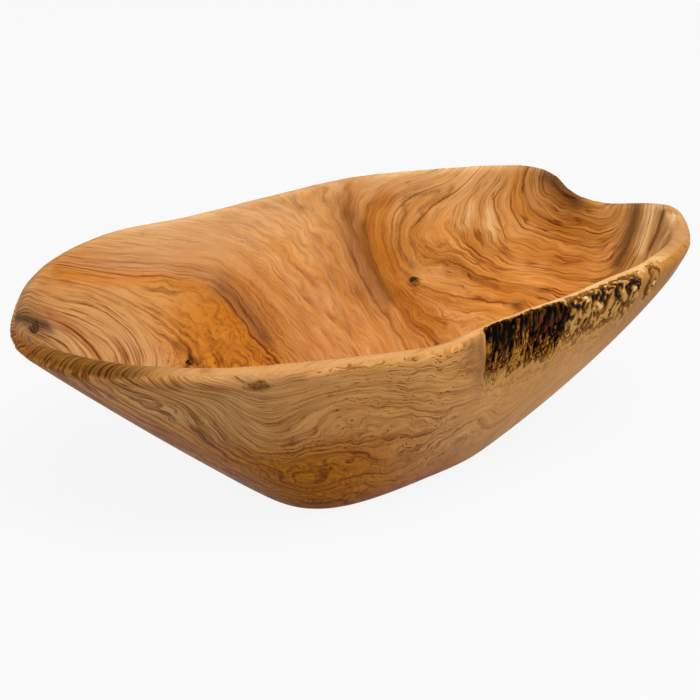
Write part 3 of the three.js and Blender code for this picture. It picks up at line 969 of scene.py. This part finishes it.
def olive_wood():
    """Oiled wood: its tone, darkened and lightened by streaks along the figure, with a painted sheen in
    broad peach and golden flames, and stained round the bark.
    """
    finish = Finish("olive_wood", IOR=1.35, Specular_IOR_Level=0.1)
    place = finish.place()
    tone = finish.read("tone", "Color")
    habit = finish.read("habit", "Color")
    combed = finish.add("ShaderNodeSeparateColor", None, {0: habit}, "Red")
    banded = finish.add("ShaderNodeSeparateColor", None, {0: habit}, "Green")
    rippled = finish.add("ShaderNodeSeparateColor", None, {0: habit}, "Blue")
    curled = finish.read("habit", "Alpha")
    dashed = finish.read("dashes")
    rim = finish.read("rim")
    level = finish.read("figure")

    # how the grain strays from the figure
    wander = finish.mottle(place, 45, 1) - 0.5
    kink = finish.mottle(place, 105, 1) - 0.5
    shiver = finish.mottle(place, 420, 1) - 0.5
    bend = kink * (0.7 + banded * 5 + rippled * 8 + curled * 6 + dashed * 3)
    grain = level + wander * 4 + bend + shiver * (0.4 + banded * 0.8 + rippled * 0.5)

    # streaks along the grain, and the patches and curls that break them up
    band = finish.streak(place, grain, *STREAKS["band"])
    vein = finish.streak(place, grain, *STREAKS["vein"])
    fine = finish.streak(place, grain, *STREAKS["fine"])
    hair = finish.streak(place, grain, *STREAKS["hair"])
    flame = finish.streak(place, grain, *STREAKS["flame"])
    flick = finish.streak(place, grain, *STREAKS["flick"])
    dash = finish.streak(place, grain, *STREAKS["dash"])
    gild_and_sheen = finish.streak(place, grain, *STREAKS["gild_and_sheen"]).eased(0.38, 0.62)
    fade = finish.mottle(place, 55, 1).eased(0.35, 0.6)
    patch = finish.mottle(place, 90, 1).eased(0.42, 0.58)
    cells = finish.add("ShaderNodeTexVoronoi", None, {"Vector": place, "Scale": 420.0}, "Distance")
    speck = cells.eased(0.3, 0.14)
    knurl = finish.mottle(place, 60, 1) * 8 + grain * 0.12
    curl = finish.add("ShaderNodeMath", {"operation": "PINGPONG"}, {0: knurl, 1: 0.5}).eased(0.4, 0.02)

    # how dark and how pale they make the wood, which is calmer near the bark
    bast = finish.read("bast")
    lines = fine.eased(0.48, 0.66) * 0.5 + hair.eased(0.48, 0.7) * 0.45
    bands = band.eased(0.47, 0.66) * (0.2 + fade * 0.3) + abs(vein - 0.5).eased(0.035, 0.004) * fade * 0.6
    flames = flame.eased(0.46, 0.72) * 0.45 + flick.eased(0.5, 0.75) * 0.3
    strayed = level + wander * 2 + bend * 0.7 + shiver * 0.6
    drawn = drawn_lines(strayed) * fine.eased(0.2, 0.55) * (1 - rim)
    dark = (
        combed * lines
        + banded * (bands + lines * 0.12)
        + rippled * flames
        + curled * (curl * 0.35 + speck * patch * 1.2)
        + dashed * dash.eased(0.58, 0.68) * patch * 0.8
        + dash.eased(0.6, 0.75) * 0.15
        + lines * (0.25 - rippled * 0.15 - banded * 0.1)
        + drawn * 0.9
    ) * (1 - bast.eased(45, 20) * 0.6)
    pale = (combed * 0.6 + banded * 0.6) * fine.eased(0.48, 0.3) + rippled * (
        flame.eased(0.48, 0.25) * 0.5 + flick.eased(0.46, 0.3) * 0.3)
    # Peach and golden flames along the grain: partly the wood's own tone, partly a painted sheen that
    # lightens and darkens the wood in broad streaks
    flame_and_sheen = finish.mix(gild_and_sheen, TINTS["peach flame and bright sheen"], TINTS["golden flame and dim sheen"])
    colour = finish.tint(fade * 0.3, tone, TINTS["faded"])
    colour = finish.tint(banded * 0.8 + rippled * 0.6, colour, flame_and_sheen)
    colour = finish.tint(pale, colour, TINTS["pale streak"])
    colour = finish.tint(dark, colour, TINTS["dark streak"])

    # growth layers across the rim
    layer = finish.add("ShaderNodeTexNoise", {"noise_dimensions": "1D"}, {
        "W": finish.read("round") + kink * 2, "Scale": 0.8, "Detail": 2.0})
    stripe = finish.read("stripes") * layer.eased(0.38, 0.66)
    colour = finish.tint(stripe * 0.9, colour, TINTS["growth layer"])

    # golden stain that runs down from the bark, and upright fibres round it
    upright = finish.add("ShaderNodeVectorMath", {"operation": "MULTIPLY"}, {0: place, 1: (1, 1, 0.12)})
    drip = finish.mottle(upright, 190, 2) - 0.5
    fibre = finish.mottle(upright, 750, 2, 0.6)
    soak = bast + drip * 22
    near = bast.eased(40, 10)
    golden = finish.mix(fibre.eased(0.4, 0.62), bark_tone("bast"), bark_tone("bast ridge"))
    colour = finish.mix(near * (drip + 0.5).eased(0.45, 0.62) * 0.4, colour, bark_tone("drip"))
    colour = finish.mix(near * fibre.eased(0.5, 0.68) * 0.45, colour, bark_tone("upright fibre"))
    colour = finish.mix(soak.eased(14, 8) * 0.45, colour, bark_tone("halo"))
    colour = finish.mix(abs(soak - 10).eased(1.8, 0.2) * 0.45, colour, bark_tone("halo edge"))
    colour = finish.mix(soak.eased(4.5, 3.5) * 0.85, colour, golden)
    colour = finish.mix(abs(soak - 4).eased(0.8, 0.1) * 0.75, colour, bark_tone("bast edge"))
    colour = finish.mix(bast.eased(3, 1) * 0.65, colour, bark_tone("bark edge"))
    finish.set("Base Color", colour)
    finish.set("Roughness", 0.42 + hair * 0.14)
    finish.bump(dark, 0.06, 0.0004)
    return finish.material


def ridged_bark(name, golden_from):
    """Black bark that turns golden down from a share of its height."""
    finish = Finish(name, Specular_IOR_Level=0.05)
    place = finish.place()
    upright = finish.add("ShaderNodeVectorMath", {"operation": "MULTIPLY"}, {0: place, 1: (1, 1, 0.09)})
    strip = finish.mottle(upright, 420, 2)
    strand = finish.mottle(upright, 1100, 2, 0.6)
    blotch = finish.mottle(place, 300, 2)
    edge = finish.read("drop") + (strip - 0.5) * 1.5 + (strand - 0.5) * 0.5 + (blotch - 0.5) * 0.7
    ridge = finish.read("relief") * 0.5 + strand
    black = finish.mix(ridge.eased(0.48, 0.82), bark_tone("black bark"), bark_tone("black ridge"))
    brown = finish.mix(strand.eased(0.42, 0.6), bark_tone("brown bark"), bark_tone("brown ridge"))
    golden = finish.mix(strand.eased(0.4, 0.58), bark_tone("golden bark"), bark_tone("golden ridge"))
    colour = finish.mix(edge.eased(golden_from - 0.3, golden_from - 0.1), black, brown)
    gold = edge.eased(golden_from, golden_from + 0.1)
    finish.set("Base Color", finish.mix(gold, colour, golden))
    finish.set("Roughness", 0.9 - gold * 0.25)
    finish.bump(strand, 0.5, 0.0006)
    return finish.material


def scaly_bark():
    """Broken bark: black gaps and pale flakes high up, partly painted as glints, tan leaves with brown
    edges at its foot.
    """
    finish = Finish("scaly_bark", Specular_IOR_Level=0.15)
    place = finish.place()
    grit = finish.mottle(place, 700, 2) - 0.5
    relief = finish.read("relief") + grit * 0.35
    high = (finish.read("drop") + (finish.mottle(place, 160, 1) - 0.5) * 0.9).eased(0.6, 0.4)
    leaf = finish.mix(relief.eased(-0.1, 0.2), bark_tone("leaf"), bark_tone("leaf ridge"))
    leaf = finish.mix(abs(relief + 0.08).eased(0.07, 0.02), leaf, bark_tone("leaf edge"))
    golden = finish.mix(relief.eased(-0.15, 0.35), bark_tone("crust"), bark_tone("crust ridge"))
    golden = finish.mix(relief.eased(-0.2, -0.34), golden, bark_tone("crust gap"))
    # Pale flakes high on the crust: partly pale bark, partly painted glints of light on it
    flake = high * relief.eased(0.44, 0.54)
    colour = finish.mix(flake, finish.mix(high, leaf, golden), bark_tone("pale flake and glint"))
    finish.set("Base Color", colour)
    finish.set("Roughness", 0.75 - flake * 0.4)
    finish.bump(grit, 0.3, 0.0004)
    return finish.material


def leaf_bark():
    """Scrap of bark: a tan leaf with a brown edge and a pale slit."""
    finish = Finish("leaf_bark", Specular_IOR_Level=0.2, Roughness=0.75)
    place = finish.place()
    ring = finish.read("heart") + (finish.mottle(place, 350, 2) - 0.5) * 0.35
    fleck = finish.mottle(place, 900, 2).eased(0.4, 0.62)
    tan = finish.mix(fleck, bark_tone("fleck"), bark_tone("fleck ridge"))
    colour = finish.mix(ring.eased(0.8, 0.92), tan, bark_tone("fleck edge"))
    colour = finish.mix(abs(ring - 0.28).eased(0.1, 0.03), colour, bark_tone("fleck ring"))
    finish.set("Base Color", finish.mix(ring.eased(0.22, 0.15), colour, bark_tone("fleck slit")))
    finish.bump(fleck, 0.3, 0.0004)
    return finish.material


def dead_knot(name, dark, light, around, edge):
    """Knot of two tones that runs out into the wood round it at a share of its half width."""
    finish = Finish(name, Specular_IOR_Level=0.05, Roughness=0.7)
    place = finish.place()
    ring = finish.read("heart") + (finish.mottle(place, 330, 2) - 0.5) * 1.2
    colour = finish.mix(finish.mottle(place, 1100, 2).eased(0.4, 0.65), rgba(dark), rgba(light))
    finish.set("Base Color", finish.mix(ring.eased(edge - 0.1, edge + 0.15), colour, rgba(around)))
    return finish.material


def add_floor():
    """Floor that looks white, and keeps the bowl's shadow."""
    bpy.ops.object.select_all(action="DESELECT")
    bpy.ops.mesh.primitive_plane_add(size=FLOOR_SIZE, location=(0, 0, 0))
    floor = bpy.context.object
    floor.name = "floor"
    finish = Finish("floor_white", Roughness=0.9, Base_Color=FLOOR_GREY)
    shown = finish.add("ShaderNodeLightPath", outlet="Is Camera Ray")
    glossy = finish.add("ShaderNodeLightPath", outlet="Is Glossy Ray")
    white = finish.add("ShaderNodeEmission", None, {"Color": WHITE, "Strength": 1.0})
    share = shown * WHITE_SHARE + glossy * WHITE_SHARE
    output = finish.tree.nodes["Material Output"]
    body = Strand(finish, finish.shader.outputs[0])
    mixed = finish.add("ShaderNodeMixShader", None, {0: share, 1: body, 2: white})
    finish.tree.links.new(mixed.socket, output.inputs["Surface"])
    floor.data.materials.append(finish.material)


def add_lamp(name, size, power, place):
    data = bpy.data.lights.new(name, "AREA")
    data.size = size
    data.energy = power
    lamp = bpy.data.objects.new(name, data)
    bpy.context.scene.collection.objects.link(lamp)
    lamp.location = place
    lamp.rotation_euler = (Vector(place) - Vector(LAMP_TARGET)).to_track_quat("Z", "Y").to_euler()


def add_world():
    """Even light from all round, which looks white to the camera."""
    world = bpy.data.worlds.new("studio")
    bpy.context.scene.world = world
    world.use_nodes = True
    tree = world.node_tree
    background = tree.nodes["Background"]
    background.inputs["Color"].default_value = WHITE
    background.inputs["Strength"].default_value = WORLD_STRENGTH
    white = tree.nodes.new("ShaderNodeBackground")
    white.inputs["Color"].default_value = WHITE
    white.inputs["Strength"].default_value = 1.0
    path = tree.nodes.new("ShaderNodeLightPath")
    mixed = tree.nodes.new("ShaderNodeMixShader")
    tree.links.new(path.outputs["Is Camera Ray"], mixed.inputs[0])
    tree.links.new(background.outputs[0], mixed.inputs[1])
    tree.links.new(white.outputs[0], mixed.inputs[2])
    tree.links.new(mixed.outputs[0], tree.nodes["World Output"].inputs["Surface"])


add_camera()
bpy.context.scene.view_settings.view_transform = "Standard"
bowl = carve_bowl()
grain_bowl(bowl)
finish_piece(bowl, "bowl_body", olive_wood())
black_bark = ridged_bark("black_bark", BLACK_BARK_GOLD)
brown_bark = ridged_bark("brown_bark", BROWN_BARK_GOLD)
for node in ("bark_plate_left", "bark_plate_right"):
    finish_piece(grow_bark(node), node, black_bark)
finish_piece(grow_bark("bark_plate_middle"), "bark_plate_middle", brown_bark)
finish_piece(grow_crust("bark_crust", BARK_ROUGHNESS), "bark_crust", scaly_bark())
finish_piece(grow_crust("bark_fleck", FLECK_ROUGHNESS), "bark_fleck", leaf_bark())
for node, (dark, light, around, edge) in KNOT_NODES.items():
    finish_piece(grow_knot(node), node, dead_knot(node + "_wood", dark, light, around, edge))
add_floor()
for name, (size, power, place) in LAMPS.items():
    add_lamp(name, size, power, place)
add_world()
